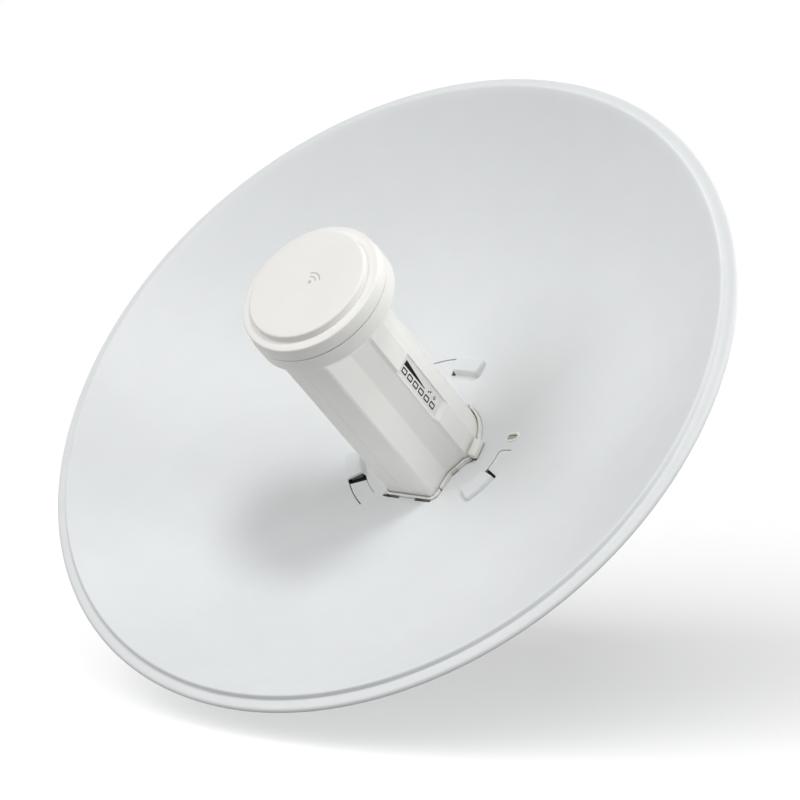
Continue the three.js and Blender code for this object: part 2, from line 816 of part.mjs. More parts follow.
add(part, "mast_bracket", mastBracket(), steel);
add(part, "clamp_jaw", clampJaw(), steel);
add(part, "hinge_bolt", hingeBolt(), steel);
add(part, "hinge_nut", hingeNut(), steel);
for (const [word, side] of [
  ["right", 1],
  ["left", -1],
]) {
  const handed = (geometry) => (side > 0 ? geometry : mirrored(geometry));
  add(part, `lock_bolt_${word}`, handed(lockBolt()), steel);
  add(part, `lock_nut_${word}`, handed(lockNut()), steel);
  add(part, `clamp_bolt_${word}`, clampBolt(side), steel);
  add(part, `clamp_washer_${word}`, clampWasher(side), steel);
  add(part, `clamp_nut_${word}`, clampNut(side), steel);
}

export default part;
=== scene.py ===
"""The looks of a point-to-point dish antenna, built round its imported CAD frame.

Shapes are written in millimetres, in one of two spaces: the dish's (origin at the reflector's
vertex, +Z along the boresight, +Y up the dish) or the mast's (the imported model's own axes).
"""

import math

import bmesh
import bpy
from mathutils import Matrix, Vector


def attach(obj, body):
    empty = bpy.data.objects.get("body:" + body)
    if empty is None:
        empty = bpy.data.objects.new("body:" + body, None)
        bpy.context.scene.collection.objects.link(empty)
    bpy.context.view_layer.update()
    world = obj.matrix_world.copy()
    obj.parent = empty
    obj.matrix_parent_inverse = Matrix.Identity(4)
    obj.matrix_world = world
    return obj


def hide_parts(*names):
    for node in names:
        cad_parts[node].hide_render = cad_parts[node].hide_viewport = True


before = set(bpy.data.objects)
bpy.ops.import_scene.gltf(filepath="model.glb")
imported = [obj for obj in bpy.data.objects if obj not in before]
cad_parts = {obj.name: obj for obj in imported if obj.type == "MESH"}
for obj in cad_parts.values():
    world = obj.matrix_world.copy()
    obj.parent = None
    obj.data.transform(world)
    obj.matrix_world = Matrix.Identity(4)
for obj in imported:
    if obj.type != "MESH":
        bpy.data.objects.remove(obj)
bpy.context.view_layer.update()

# ------------------------------------------------------------------ driving sizes, mm and degrees
MM = 0.001
REST_ELEVATION = math.radians(40)
HINGE_FORWARD = 46  # from the mast's axis to the elevation hinge
HINGE_BACK = 64  # from the hinge to the reflector's vertex
FOCAL_LENGTH = 140
SHEET = 1.5
BAYONETS = (90, 210, 330)  # where round the bowl the pockets are
GAP = 0.3  # between pieces that meet

# Levels along the feed: its tail, the start of its flare, its ring, the seam of its cap, its front.
FEED_TAIL = -29
FLARE_BACK = 120
RING_BACK = 134
CAP_SEAM = 143.5
FEED_FRONT = 155.5

# The feed's section: the ring's radius, the flat keel, the flat side panels and the round back.
RING_RADIUS = 42
KEEL_Y = -35.6
PANEL_X = 26.7
PANEL_Y = (-7.8, 4.5)
BACK_RADIUS = 26.6

MAST = Matrix.Scale(MM, 4)
DISH = (
    Matrix.Scale(MM, 4)
    @ Matrix.Translation(
        (
            0,
            -HINGE_FORWARD - HINGE_BACK * math.cos(REST_ELEVATION),
            HINGE_BACK * math.sin(REST_ELEVATION),
        )
    )
    @ Matrix.Rotation(math.pi / 2 - REST_ELEVATION, 4, "X")
)


# ------------------------------------------------------------------ mesh helpers
def mesh_object(name, points, faces):
    mesh = bpy.data.meshes.new(name)
    mesh.from_pydata([tuple(p) for p in points], [], faces)
    made = bpy.data.objects.new(name, mesh)
    bpy.context.scene.collection.objects.link(made)
    return made


def outward(piece):
    """Turns every face of a closed mesh outwards."""
    work = bmesh.new()
    work.from_mesh(piece.data)
    bmesh.ops.remove_doubles(work, verts=work.verts, dist=1e-4)
    bmesh.ops.recalc_face_normals(work, faces=work.faces)
    work.to_mesh(piece.data)
    work.free()
    return piece


def applied(piece, kind, **settings):
    modifier = piece.modifiers.new(kind, kind)
    for key, value in settings.items():
        setattr(modifier, key, value)
    graph = bpy.context.evaluated_depsgraph_get()
    mesh = bpy.data.meshes.new_from_object(piece.evaluated_get(graph))
    piece.modifiers.clear()
    piece.data = mesh
    return piece


def carve(piece, *tools):
    for tool in tools:
        applied(piece, "BOOLEAN", operation="DIFFERENCE", solver="EXACT", object=tool)
        bpy.data.objects.remove(tool)
    return piece


def bevelled(piece, width, segments=2, angle=30):
    return applied(
        piece,
        "BEVEL",
        width=width,
        segments=segments,
        limit_method="ANGLE",
        angle_limit=math.radians(angle),
        use_clamp_overlap=True,
    )


def quads(rows, count, looped=False):
    """Faces between successive closed rings of count points each."""
    faces = []
    for i in range(rows if looped else rows - 1):
        a = i * count
        b = (i + 1) % rows * count
        for k in range(count):
            n = (k + 1) % count
            faces.append((a + k, a + n, b + n, b + k))
    return faces


def ring_skin(name, rings, looped=False, capped=False):
    """A closed mesh over rings that all have the same number of points."""
    count = len(rings[0])
    points = [p for ring in rings for p in ring]
    faces = quads(len(rings), count, looped)
    if capped:
        faces.append(tuple(reversed(range(count))))
        faces.append(tuple(range((len(rings) - 1) * count, len(rings) * count)))
    return outward(mesh_object(name, points, faces))


def circle(radius, z, sides=128):
    turn = 2 * math.pi / sides
    return [(radius * math.cos(i * turn), radius * math.sin(i * turn), z) for i in range(sides)]


def lathe(name, profile, sides=128):
    """A turned piece. Its profile of (radius, z) closes on itself, or starts and ends on the axis."""
    rings = [circle(max(r, 1e-3), z, sides) for r, z in profile]
    on_axis = profile[0][0] == 0 and profile[-1][0] == 0
    return ring_skin(name, rings, looped=not on_axis, capped=on_axis)


def prism(name, outline, z0, z1):
    rings = [[(x, y, z) for x, y in outline] for z in (z0, z1)]
    return ring_skin(name, rings, capped=True)


def block(name, low, high):
    (x0, y0, z0), (x1, y1, z1) = low, high
    return prism(name, [(x0, y0), (x1, y0), (x1, y1), (x0, y1)], z0, z1)


def bar(centre, angle, length, width, low, high):
    """A straight bar of a length and width, lying at an angle, from one height to another."""
    turn = Matrix.Rotation(math.radians(angle), 2)
    corners = [(-length, -width), (length, -width), (length, width), (-length, width)]
    outline = [tuple(Vector(centre) + turn @ Vector(c) / 2) for c in corners]
    return prism("bar", outline, low, high)


def polar(radius, angle):
    a = math.radians(angle)
    return (radius * math.cos(a), radius * math.sin(a))


def evenly(start, end, steps):
    return [start + (end - start) * i / steps for i in range(steps + 1)]


def arc(radius, start, end, steps):
    return [polar(radius, angle) for angle in evenly(start, end, steps)]


def curve(start, corner, end, steps):
    """A bend from start to end that heads for the corner at both ends."""
    shares = evenly(0, 1, steps)
    return [tuple(start * (1 - t) ** 2 + corner * 2 * t * (1 - t) + end * t**2) for t in shares]


def round_end(centre, start):
    """The points between the ends of an anticlockwise half turn."""
    arm = start - centre
    return [tuple(centre + Matrix.Rotation(math.pi * i / 4, 2) @ arm) for i in (1, 2, 3)]


def ribbon(path, width):
    """The outline of a strip of the given width along a path, with round ends."""
    points = [Vector(p) for p in path]
    left, right = [], []
    for i, p in enumerate(points):
        ahead = points[min(i + 1, len(points) - 1)] - points[max(i - 1, 0)]
        side = Vector((-ahead.y, ahead.x)).normalized() * width / 2
        left.append(p + side)
        right.append(p - side)
    there = [tuple(p) for p in right] + round_end(points[-1], right[-1])
    return there + [tuple(p) for p in reversed(left)] + round_end(points[0], left[0])


def grown(outline, distance):
    """Every edge of an anticlockwise outline moved outwards by the same distance."""
    made = []
    count = len(outline)
    for i in range(count):
        before = Vector(outline[i]) - Vector(outline[i - 1])
        after = Vector(outline[(i + 1) % count]) - Vector(outline[i])
        a = Vector((before.y, -before.x)).normalized()
        b = Vector((after.y, -after.x)).normalized()
        made.append(tuple(Vector(outline[i]) + (a + b) * distance / (1 + a.dot(b))))
    return made


def rounded(outline, radius, steps=3, hold=0.0):
    """An outline with short bends for corners. A hold puts one more point just off each bend's ends."""
    made = []
    count = len(outline)
    for i in range(count):
        corner = Vector(outline[i])
        back = Vector(outline[i - 1]) - corner
        on = Vector(outline[(i + 1) % count]) - corner
        back_room = 0.45 * back.length
        on_room = 0.45 * on.length
        reach = min(radius, back_room, on_room)
        start = corner + back.normalized() * reach
        end = corner + on.normalized() * reach
        if hold and reach + hold < back_room:
            made.append(tuple(start + back.normalized() * hold))
        made += curve(start, corner, end, steps)
        if hold and reach + hold < on_room:
            made.append(tuple(end + on.normalized() * hold))
    return made


def resampled(outline, spacing):
    """An outline with points added, so that none is further than the spacing from the next."""
    made = []
    for i, p in enumerate(outline):
        a = Vector(p)
        b = Vector(outline[(i + 1) % len(outline)])
        steps = max(1, math.ceil((b - a).length / spacing))
        made += [tuple(a.lerp(b, k / steps)) for k in range(steps)]
    return made


def obround(centre, angle, length, width, steps=8):
    """An outline with round ends, its long side along the radius at an angle."""
    half = (length - width) / 2
    made = []
    for offset, start in ((half, -90), (-half, 90)):
        made += [(centre + offset + x, y) for x, y in arc(width / 2, start, start + 180, steps)]
    turn = Matrix.Rotation(math.radians(angle), 2)
    return [tuple(turn @ Vector(p)) for p in made]


def finished(piece, space, body, material, replaces=(), sharp=35):
    """Puts a shaped piece in its place, gives it its looks and ties it to the frame."""
    piece.data.transform(space)
    piece.data.materials.clear()
    piece.data.materials.append(material)
    for face in piece.data.polygons:
        face.use_smooth = True
    piece.data.set_sharp_from_angle(angle=math.radians(sharp))
    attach(piece, body)
    if replaces:
        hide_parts(*replaces)
    return piece


# ------------------------------------------------------------------ materials
def node(tree, kind, **settings):
    """A new node. Each setting is the value of an input socket, or else of one of its properties."""
    made = tree.nodes.new(kind)
    for key, value in settings.items():
        if key in made.inputs:
            made.inputs[key].default_value = value
        else:
            setattr(made, key, value)
    return made


ROUGHNESS_SPREAD = 0.06
NOISE_RANGE = (0.3, 0.7)


def surface(name, color, roughness, metallic=0.0, grain=900, bump=0.15, spread=0.03, mottle=40, gloss=0.5):
    """A finish with fine grain in its bump and roughness, and slow variation in its colour."""
    material = bpy.data.materials.new(name)
    material.use_nodes = True
    tree = material.node_tree
    shader = tree.nodes["Principled BSDF"]
    shader.inputs["Metallic"].default_value = metallic
    shader.inputs["Specular IOR Level"].default_value = gloss
    place = node(tree, "ShaderNodeTexCoord")
    fine = node(tree, "ShaderNodeTexNoise", Scale=grain, Detail=3.0, Roughness=0.6)
    slow = node(tree, "ShaderNodeTexNoise", Scale=mottle, Detail=4.0, Roughness=0.55)
    for texture in (fine, slow):
        tree.links.new(place.outputs["Object"], texture.inputs["Vector"])
    tint = node(tree, "ShaderNodeValToRGB")
    for stop, position, shade in zip(tint.color_ramp.elements, NOISE_RANGE, (1 - spread, 1 + spread)):
        stop.position = position
        stop.color = (*(min(1, c * shade) for c in color), 1)
    tree.links.new(slow.outputs["Fac"], tint.inputs["Fac"])
    tree.links.new(tint.outputs["Color"], shader.inputs["Base Color"])
    rough = node(tree, "ShaderNodeMapRange")
    rough.inputs["From Min"].default_value = NOISE_RANGE[0]
    rough.inputs["From Max"].default_value = NOISE_RANGE[1]
    rough.inputs["To Min"].default_value = roughness - ROUGHNESS_SPREAD
    rough.inputs["To Max"].default_value = roughness + ROUGHNESS_SPREAD
    tree.links.new(fine.outputs["Fac"], rough.inputs["Value"])
    tree.links.new(rough.outputs["Result"], shader.inputs["Roughness"])
    relief = node(tree, "ShaderNodeBump", Strength=bump, Distance=0.0003)
    tree.links.new(fine.outputs["Fac"], relief.inputs["Height"])
    tree.links.new(relief.outputs["Normal"], shader.inputs["Normal"])
    return material


powder_coat = surface("powder_coat", (0.8, 0.82, 0.825), 0.5, grain=700, bump=0.18, spread=0.012)
white_plastic = surface("white_plastic", (0.93, 0.92, 0.89), 0.42, grain=1400, bump=0.1, spread=0.012)
collar_plastic = surface("collar_plastic", (0.84, 0.83, 0.79), 0.4, grain=1200, bump=0.08, spread=0.015)
# Dark grey: the network jack's own colour, and on the mount hub partly painted shade, darker than the
# hub's own colour.
grey_plastic = surface("grey_plastic", (0.3, 0.305, 0.3), 0.55, grain=1100, bump=0.25, spread=0.06)
mark_grey = surface("mark_grey", (0.6, 0.6, 0.58), 0.45, grain=1200, bump=0.08, spread=0.02)
olive_plastic = surface("olive_plastic", (0.42, 0.43, 0.35), 0.5, grain=1100, bump=0.12, spread=0.03)
film = surface("indicator_film", (0.84, 0.84, 0.81), 0.25, grain=500, bump=0.03, spread=0.01)
ink = surface("ink", (0.01, 0.01, 0.011), 0.5, grain=900, bump=0.05, spread=0.1, gloss=0.1)
zinc = surface(
    "zinc_plate", (0.55, 0.57, 0.58), 0.34, metallic=0.9, grain=260, bump=0.1, spread=0.16, mottle=160
)
bolt_steel = surface(
    "bolt_steel", (0.5, 0.51, 0.52), 0.3, metallic=0.95, grain=500, bump=0.1, spread=0.12, mottle=220
)
bare_aluminium = surface(
    "bare_aluminium", (0.7, 0.71, 0.72), 0.32, metallic=0.95, grain=400, bump=0.08, spread=0.05
)
# Black: the cap gasket's own rubber, and painted shade on the pads behind the windows.
seal_and_shade = surface("rubber_and_shade", (0.02, 0.02, 0.02), 0.75, grain=900, bump=0.25, spread=0.2)
board = surface("board_green", (0.02, 0.13, 0.06), 0.35, grain=300, bump=0.12, spread=0.25, mottle=200)
tinned = surface("tinned_can", (0.6, 0.61, 0.62), 0.28, metallic=0.95, grain=300, bump=0.06, spread=0.08)


# ------------------------------------------------------------------ reflector
# A pocket's radii, its ends in degrees from its bayonet, and the height of its top. The shoulder is
# how its walls turn into that top, and the window is the hole at its far end.
POCKET = {"inner": 45, "outer": 55.5, "middle": 50, "start": -12, "end": 8.4, "top": 8.3}
SHOULDER = {"width": 1.5, "corner": 2.2, "roundness": 2.6}
WINDOW_END = {"inner": 12.6, "outer": 10.4}
# The slits that run on from the windows. Widths and lengths are in mm, ends and overlaps in degrees.
SLIT = {"width": 0.65, "end": 29, "overlap": 0.8, "bend": 3.4, "leg": 8.6}
FAINT_SLIT = {"radius": 45.2, "width": 0.3, "end": 27, "overlap": 0.5}
LOCK_HOLE = {"radius": 51.2, "angle": 8.8, "length": 7.0, "width": 3.2, "seat": 1.0}
# The feed's opening, with the slot for the collar's latch and the slots for its feet.
OPENING_MARGIN = 2.5
LATCH_X = (27.9, 32.6)
LATCH_Y = (-7.8, 3)
LATCH_SLOT = {"x": (24, 32.1), "slack": 0.5}
FEET_X = ((-18, -7), (4, 15))
FEET_Y = (KEEL_Y - 3.6, KEEL_Y - 2)
THROUGH = (-6, 12)  # heights that a cut through the middle of the bowl runs between


def dish_front(r):
    """The height of the bowl's front face, a paraboloid."""
    return r * r / (4 * FOCAL_LENGTH)


def pocket_rise(r, angle):
    """How far a bayonet pocket stands off the bowl: steep walls, round shoulders and a flat top."""
    for middle in BAYONETS:
        off = (angle - middle + 180) % 360 - 180
        if not POCKET["start"] - 3 < off < POCKET["end"] + 0.2:
            continue
        corner = SHOULDER["corner"]
        across = min(r - POCKET["inner"], POCKET["outer"] - r)
        along = math.radians(off - POCKET["start"]) * POCKET["middle"]
        inside = min(across, along)
        if across < corner and along < corner:
            inside = corner - math.hypot(corner - across, corner - along)
        t = max(0.0, min(1.0, inside / SHOULDER["width"]))
        rise = (1 - (1 - t) ** SHOULDER["roundness"]) ** (1 / SHOULDER["roundness"])
        return (POCKET["top"] - dish_front(r)) * rise
    return 0.0


def dish_angles():
    """Even steps round the bowl, with finer ones at the ends of each pocket."""
    angles = set(range(360))
    for middle in BAYONETS:
        start = middle + POCKET["start"]
        end = middle + POCKET["end"]
        angles.update(start - 0.5 + 0.16 * i for i in range(24))
        angles.update((end + 0.1, end + 0.3))
    return sorted(round(a % 360, 3) for a in angles)


def dish_radii():
    """Rings from inside the feed's opening out to the rim, fine over the pockets."""
    return evenly(24, 41.5, 7) + evenly(44.2, 56.08, 33) + evenly(57.5, 62, 3) + evenly(64, 200.6, 36)


# The rolled rim's section, (radius, z), from the bowl's front over the lip to the bowl's back.
RIM = (
    (201.4, 72.24),
    (202.0, 72.38),
    (202.6, 72.2),
    (203.0, 71.7),
    (203.3, 70.6),
    (203.6, 69.8),
    (204.1, 69.5),
    (205.2, 69.5),
    (207.2, 69.55),
    (208.3, 69.5),
    (209.1, 69.15),
    (209.7, 68.5),
    (209.95, 67.7),
    (209.7, 66.95),
    (209.2, 66.3),
    (208.4, 66.1),
    (207.6, 66.4),
    (207.2, 67.2),
    (206.6, 68.0),
    (204.6, 68.0),
    (203.0, 67.9),
    (202.0, 68.3),
    (201.6, 69.6),
    (201.0, 70.6),
)


def plain_slit_path(middle):
    """The centre line of a slit along the pocket's outer radius."""
    start = middle + WINDOW_END["outer"] - SLIT["overlap"]
    return arc(POCKET["outer"] - SLIT["width"] / 2, start, middle + SLIT["end"], 14)


def bent_slit_path(middle):
    """The centre line of a slit along the pocket's inner radius that then turns outwards."""
    radius = POCKET["inner"] + SLIT["width"] / 2
    start = middle + WINDOW_END["inner"] - SLIT["overlap"]
    end = middle + SLIT["end"]
    path = arc(radius, start, end - math.degrees(SLIT["bend"] / radius), 10)
    corner = Vector(polar(radius, end))
    out = Vector(polar(1, end))
    path += curve(Vector(path[-1]), corner, corner + out * SLIT["bend"], 6)[1:]
    path.append(tuple(corner + out * SLIT["leg"]))
    return path


def faint_slit_path(middle):
    """The centre line of a fine gap along the pocket's inner radius."""
    start = middle + WINDOW_END["inner"] - FAINT_SLIT["overlap"]
    return arc(FAINT_SLIT["radius"], start, middle + FAINT_SLIT["end"], 10)


def window(middle):
    """The hole a lug of the hub enters by, at the open end of a pocket."""
    outline = [
        polar(POCKET["inner"], middle + POCKET["end"]),
        polar(POCKET["outer"], middle + POCKET["end"]),
        polar(POCKET["outer"], middle + WINDOW_END["outer"]),
        polar(POCKET["inner"], middle + WINDOW_END["inner"]),
    ]
    return prism("window", outline, *THROUGH)


def reflector_cuts():
    """Everything that is cut out of the reflector's sheet."""
    top, left, right = BAYONETS
    slits = [ribbon(path, SLIT["width"]) for path in (plain_slit_path(top), plain_slit_path(left))]
    slits.append(ribbon(bent_slit_path(right), SLIT["width"]))
    slits.append(ribbon(faint_slit_path(left), FAINT_SLIT["width"]))
    length = LOCK_HOLE["length"] + 2 * LOCK_HOLE["seat"]
    width = LOCK_HOLE["width"] + 2 * LOCK_HOLE["seat"]
    lock = obround(LOCK_HOLE["radius"], LOCK_HOLE["angle"], length, width)
    opening = grown(feed_outline(), OPENING_MARGIN)
    low, high = THROUGH
    x, y, slack = LATCH_SLOT["x"], LATCH_Y, LATCH_SLOT["slack"]
    return (
        *(window(middle) for middle in BAYONETS),
        *(prism("slit", outline, *THROUGH) for outline in slits),
        prism("lock", lock, *THROUGH),
        prism("opening", opening, *THROUGH),
        block("latch", (x[0], y[0] - slack, low), (x[1], y[1] + slack, high)),
        *(block("foot", (x0, FEET_Y[0], low), (x1, FEET_Y[1], high)) for x0, x1 in FEET_X),
    )


def reflector():
    angles = dish_angles()
    radii = dish_radii()

    def ring(r, lift):
        return [(*polar(r, a), lift(r, a)) for a in angles]

    def front(r, a):
        return dish_front(r) + pocket_rise(r, a)

    def back(r, a):
        return dish_front(r) - SHEET + pocket_rise(r, a)

    rings = [ring(r, front) for r in radii]
    rings += [ring(r, lambda _, __, z=z: z) for r, z in RIM]
    rings += [ring(r, back) for r in reversed(radii[:-1])]
    made = ring_skin("reflector", rings, looped=True)
    carve(made, *reflector_cuts())
    return finished(made, DISH, "dish_head", powder_coat, ("reflector",))


def window_shade_pads():
    """Black pads on the hub's face, seen through the windows: painted shade, a dark sheet standing in for
    the shadow inside them.
    """
    section = ((44.5, 1.95), (44.5, 1.6), (56, 1.6), (56, 1.95))
    for number, middle in enumerate(BAYONETS, 1):
        start = middle + POCKET["end"] - 3
        rings = []
        for angle in evenly(start, start + 7.5, 5):
            rings.append([(*polar(radius, angle), dish_front(radius) - drop) for radius, drop in section])
        made = ring_skin(f"window_pad_{number}", rings, capped=True)
        finished(made, DISH, "dish_head", seal_and_shade)


def lock_hole_lip():
    """The pale plastic surround of the lock hole, standing just proud of the bowl."""
    middle = LOCK_HOLE["radius"]
    z = dish_front(middle)
    profile = ((0, z - 2), (0, z + 0.35), (0.2, z + 0.6), (1.0, z + 0.6), (1.3, z + 0.3), (1.3, z - 2))
    inner = obround(middle, LOCK_HOLE["angle"], LOCK_HOLE["length"], LOCK_HOLE["width"])
    slope = middle / (2 * FOCAL_LENGTH)
    rings = []
    for distance, height in profile:
        ring = grown(inner, distance)
        rings.append([(x, y, height + slope * (math.hypot(x, y) - middle)) for x, y in ring])
    made = ring_skin("lock_hole_lip", rings, looped=True)
    return finished(made, DISH, "dish_head", white_plastic, sharp=50)


# ------------------------------------------------------------------ feed body
SHELL_SPLIT = -3.6  # x of the seam between the two shells
SEAM_GAP = 0.08  # from the seam to each shell's edge
WALL = 1.8
# The indicator recess: its edges, the ramp at its tail end, and its depth at the low and high edge.
PANEL = {"z": (42.6, 88), "y": (-8.9, 4.2), "ramp": 2.8, "depth": (1.5, 0.7), "lean": 0.25, "edge": 0.15}
JACK = {"x": (-7.2, 6.0), "z": (-26.2, -12.4)}
RESET_HOLE = {"radius": 1.5, "z": -9.2}
KEEL_CUT_Y = (-41, -30)
TAIL_EASE = 0.3  # how far the tail's edge is eased along the feed
RING_EASE = 0.35  # how far the ring's front edge is drawn in


def feed_outline():
    """The feed's section: flat keel below, waist, raised side panels and a round back."""
    right = [
        (14.6, KEEL_Y),
        (16.0, KEEL_Y + 1.3),
        (18.1, -19.3),
        (24.5, -8.8),
        (PANEL_X, PANEL_Y[0]),
        (PANEL_X, PANEL_Y[1]),
        *arc(BACK_RADIUS, 12, 84, 12),
    ]
    return right + [(-x, y) for x, y in reversed(right)]


def softened_outline():
    """The section with its corners eased, and points where the recess's upper edge falls."""
    top = PANEL["y"][1]
    eased = rounded(feed_outline(), 0.5, hold=0.25)
    made = []
    for (x, y), (next_x, next_y) in zip(eased, eased[1:] + eased[:1]):
        made.append((x, y))
        if abs(x - PANEL_X) < 1e-3 and abs(next_x - PANEL_X) < 1e-3:
            made += [(PANEL_X, mark) for mark in (top - PANEL["edge"], top) if y < mark < next_y]
    return resampled(made, 1.3)


def panel_depth(y, z):
    """How deep the indicator recess is at a point of the right side panel."""
    z0, z1 = PANEL["z"]
    y0, y1 = PANEL["y"]
    if not y0 + 0.1 < y < y1 - 0.1 or not z0 - PANEL["ramp"] < z < z1 - 0.05:
        return 0.0
    low, high = PANEL["depth"]
    deep = low + (high - low) * (y - y0) / (y1 - y0) + PANEL["lean"] * (z1 - max(z, z0)) / (z1 - z0)
    if z < z0:
        return deep * (z - z0 + PANEL["ramp"]) / PANEL["ramp"]
    return deep


def smooth_max(a, b, ease):
    """The larger of two values, with an eased change from one to the other."""
    return (a + b + math.sqrt((a - b) ** 2 + ease**2)) / 2


def body_radius(radius, z):
    """A section point's distance from the axis, widened into the ring towards the front."""
    if z < FLARE_BACK - 8:
        return radius
    cone = RING_RADIUS - (RING_BACK - z) * (RING_RADIUS - BACK_RADIUS) / (RING_BACK - FLARE_BACK)
    cone = min(cone, RING_RADIUS)
    return min(smooth_max(radius, cone, 2.0), RING_RADIUS)


def body_levels():
    """Where along the feed its section is set down: close together over the flare."""
    tail = [FEED_TAIL, FEED_TAIL + TAIL_EASE, FEED_TAIL + 3 * TAIL_EASE, -15, 0, 15, 30]
    low, high = PANEL["z"]
    panel = [low - PANEL["ramp"], low, 55, 66, 77, high - PANEL["edge"], high]
    flare = [100, 110] + evenly(114, 133.5, 39)
    return tail + panel + flare + [134.15, 134.6, 139, 142.9, CAP_SEAM - GAP]


def body_point(x, y, z, recessed):
    """A point of the section, moved out to the flare and ring, or in to the recess's floor."""
    radius = math.hypot(x, y)
    scale = body_radius(radius, z) / radius
    if z == FEED_TAIL + TAIL_EASE:
        scale *= 0.997
    if z > RING_BACK and scale * radius > RING_RADIUS - 0.5:
        bite = RING_EASE if z == CAP_SEAM - GAP else 0.0
        scale = (RING_RADIUS - bite) / radius
    px, py = x * scale, y * scale
    depth = panel_depth(y, z)
    if recessed and x > 20 and depth > 0:
        px = min(px, PANEL_X - depth)
    return (px, py, z)


def body_skin(name, recessed):
    """The feed's outer skin, closed at its tail and open at its ring."""
    outline = softened_outline()
    rings = []
    for share in (0.02, 0.5, 0.985):
        rings.append([(x * share, y * share, FEED_TAIL) for x, y in outline])
    for z in body_levels():
        rings.append([body_point(x, y, z, recessed) for x, y in outline])
    count = len(outline)
    points = [p for ring in rings for p in ring]
    return mesh_object(name, points, [tuple(reversed(range(count)))] + quads(len(rings), count))


def half_shell(name, recessed, keep_right):
    """One of the two feed shells: the skin on its side of the seam, given its wall inwards."""
    skin = body_skin(name, recessed)
    work = bmesh.new()
    work.from_mesh(skin.data)
    x = SHELL_SPLIT + (SEAM_GAP if keep_right else -SEAM_GAP)
    bmesh.ops.bisect_plane(
        work,
        geom=list(work.verts) + list(work.edges) + list(work.faces),
        plane_co=(x, 0, 0),
        plane_no=(1, 0, 0),
        clear_inner=keep_right,
        clear_outer=not keep_right,
    )
    bmesh.ops.recalc_face_normals(work, faces=work.faces)
    work.to_mesh(skin.data)
    work.free()
    return applied(skin, "SOLIDIFY", thickness=WALL, offset=-1, use_even_offset=False, use_rim=True)


def jack_opening():
    low, high = zip(JACK["x"], KEEL_CUT_Y, JACK["z"])
    return block("jack", low, high)


def reset_hole():
    inner, outer = -KEEL_CUT_Y[1], -KEEL_CUT_Y[0]
    hole = prism("reset", [polar(RESET_HOLE["radius"], a) for a in range(0, 360, 20)], inner, outer)
    hole.data.transform(Matrix.Translation((0, 0, RESET_HOLE["z"])) @ Matrix.Rotation(math.pi / 2, 4, "X"))
    return hole


def feed_shells():
    body = half_shell("feed_body_shell", True, True)
    carve(body, jack_opening(), reset_hole())
    finished(body, DISH, "dish_head", white_plastic, ("feed_body_shell",), sharp=24)
    cover = half_shell("feed_cover_shell", False, False)
    carve(cover, jack_opening())
    finished(cover, DISH, "dish_head", white_plastic, ("feed_cover_shell",), sharp=24)


def on_panel(y, z, lift):
    """A point over the indicator recess's floor."""
    return (PANEL_X - panel_depth(y, z) + lift, y, z)


def panel_sheet(name, outline, low, high, material, replaces=()):
    """A thin flat piece lying on the indicator recess's floor, its outline in (y, z)."""
    rings = [[on_panel(y, z, lift) for y, z in outline] for lift in (low, high)]
    made = ring_skin(name, rings, capped=True)
    return finished(made, DISH, "dish_head", material, replaces)


def rounded_box(centre_y, centre_z, width, height, radius):
    y0, y1 = centre_y - width / 2, centre_y + width / 2
    z0, z1 = centre_z - height / 2, centre_z + height / 2
    return rounded([(y0, z0), (y1, z0), (y1, z1), (y0, z1)], radius, 4)


LEVEL_MARKS = {"y": -3.8, "z": [49.4 + 6.6 * i for i in range(6)]}
LEVEL_WEDGE = ((-1.2, 85.3), (1.7, 85.3), (1.8, 84.6), (-0.5, 61.2), (-0.9, 61.2))
STATUS_DOTS = ((0.1, 57.0, 0.6), (0.9, 55.3, 0.6), (0.3, 50.3, 1.0))
INK_THICKNESS = 0.1


def level_frame(number, centre):
    """One outlined signal-level mark: a flat rounded frame."""
    outer = rounded_box(LEVEL_MARKS["y"], centre, 3.3, 5.0, 0.7)
    inner = rounded_box(LEVEL_MARKS["y"], centre, 1.8, 3.5, 0.3)
    rings = []
    for outline, lift in ((outer, 0.0), (outer, INK_THICKNESS), (inner, INK_THICKNESS), (inner, 0.0)):
        rings.append([on_panel(y, z, lift) for y, z in outline])
    made = ring_skin(f"level_frame_{number}", rings, looped=True)
    finished(made, DISH, "dish_head", ink)


def dot(y, z, radius):
    return [(y + dy, z + dz) for dy, dz in arc(radius, 0, 345, 23)]


def indicator_panel():
    """The film on the recess's floor, and the marks printed on it."""
    z0, z1 = PANEL["z"][0] + 0.2, PANEL["z"][1] - 0.3
    y0, y1 = PANEL["y"][0] + 2, PANEL["y"][1] - 0.3
    sheet = [(y0, z0), (y1, z0), (y1, z1), (y0, z1)]
    panel_sheet("indicator_film", sheet, -0.2, 0.04, film, ("led_window",))
    for number, z in enumerate(LEVEL_MARKS["z"], 1):
        level_frame(number, z)
    panel_sheet("level_wedge", LEVEL_WEDGE, 0, INK_THICKNESS, ink)
    for number, (y, z, radius) in enumerate(STATUS_DOTS, 1):
        panel_sheet(f"status_dot_{number}", dot(y, z, radius), 0, INK_THICKNESS, ink)
    y, z, radius = STATUS_DOTS[-1]
    panel_sheet("status_dot_centre", dot(y, z, radius / 2), 0.05, 0.13, film)


# ------------------------------------------------------------------ collar and latch
COLLAR_TOP = 4.2


def collar_notches():
    """Short straight gaps between the collar's stretches."""
    return [
        bar((17.6, -29.6), -30, 5, 0.8, 1, 8),
        bar((21.8, -17.6), 58.8, 4.6, 1.2, -2, 8),
        bar((12.1, 25.6), 65, 5, 1.2, 1, 8),
    ]


def collar_foot_gaps():
    """Room round the collar's feet, up to just over the bowl's face."""
    top = dish_front(37) + 1.1
    return [block("foot", (x0, KEEL_Y - 4, -3), (x1, KEEL_Y - 1.2, top)) for x0, x1 in FEET_X]


